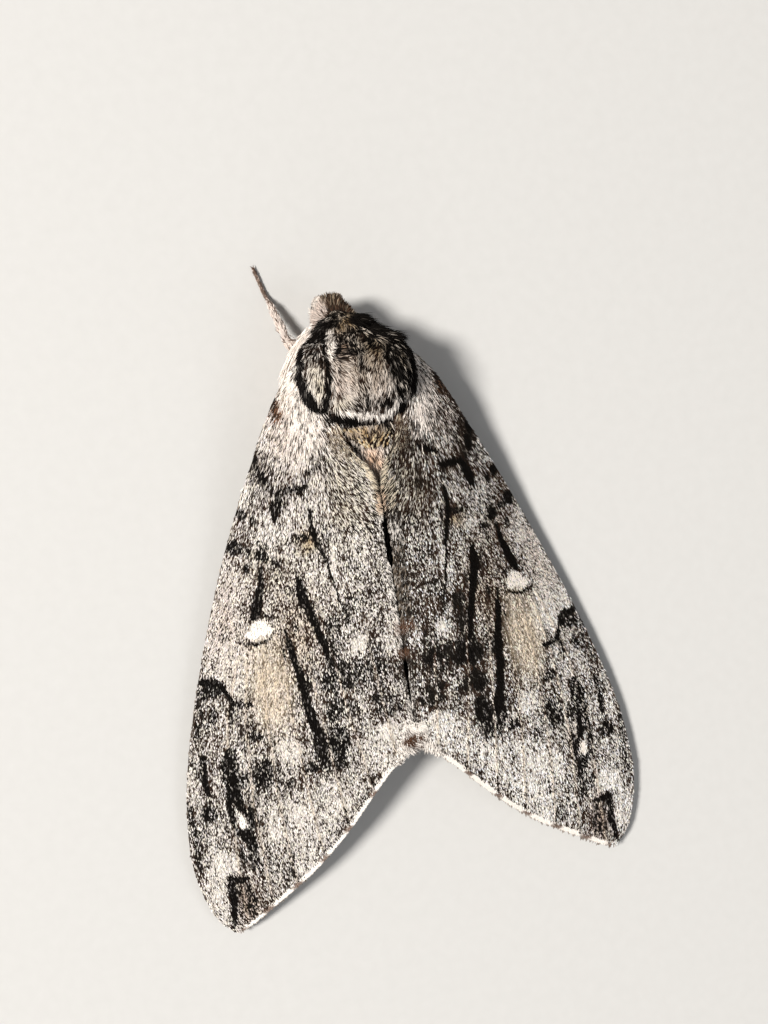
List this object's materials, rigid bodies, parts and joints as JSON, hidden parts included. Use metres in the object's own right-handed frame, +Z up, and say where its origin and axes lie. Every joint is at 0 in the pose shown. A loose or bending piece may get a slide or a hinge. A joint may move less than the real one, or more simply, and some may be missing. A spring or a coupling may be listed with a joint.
{
  "type": "grey hawk moth model",
  "caption": "Still life-size model of a grey hawk moth at rest, wings folded in a low roof, one foreleg stretched forward.",
  "frame": {"origin": "under the middle of the whole moth's box, on the plane that its feet stand on", "axes": "+Y past the head, +X to the moth's own right, +Z up"},
  "size_m": [0.0432, 0.06, 0.0104],
  "materials": {
    "coat": "thick scales and hair, grey-brown with black and buff",
    "wing": "fine scales, salt and pepper grey with black streaks",
    "hindwing": "fine dark grey-brown scales",
    "eye": "glossy dark brown",
    "feeler": "whitish scales above, brown below",
    "leg": "close whitish-pink scales",
    "tongue": "smooth dark brown"
  },
  "bodies": {
    "root": {"head": "coat", "collar": "coat", "thorax": "coat", "metathorax": "coat", "abdomen_1": "coat", "abdomen_2": "coat", "abdomen_3": "coat", "abdomen_4": "coat", "abdomen_5": "coat", "abdomen_6": "coat", "abdomen_7": "coat", "tegula_left": "coat", "palp_left": "coat", "eye_left": "eye", "antenna_left": "feeler", "forewing_left": "wing", "hindwing_left": "hindwing", "femur_fore_left": "leg", "tibia_fore_left": "leg", "tarsus_fore_left": "leg", "femur_mid_left": "leg", "tibia_mid_left": "leg", "tarsus_mid_left": "leg", "femur_hind_left": "leg", "tibia_hind_left": "leg", "tarsus_hind_left": "leg", "tegula_right": "coat", "palp_right": "coat", "eye_right": "eye", "antenna_right": "feeler", "forewing_right": "wing", "hindwing_right": "hindwing", "femur_fore_right": "leg", "tibia_fore_right": "leg", "tarsus_fore_right": "leg", "femur_mid_right": "leg", "tibia_mid_right": "leg", "tarsus_mid_right": "leg", "femur_hind_right": "leg", "tibia_hind_right": "leg", "tarsus_hind_right": "leg", "proboscis": "tongue"}
  },
  "joints": []
}
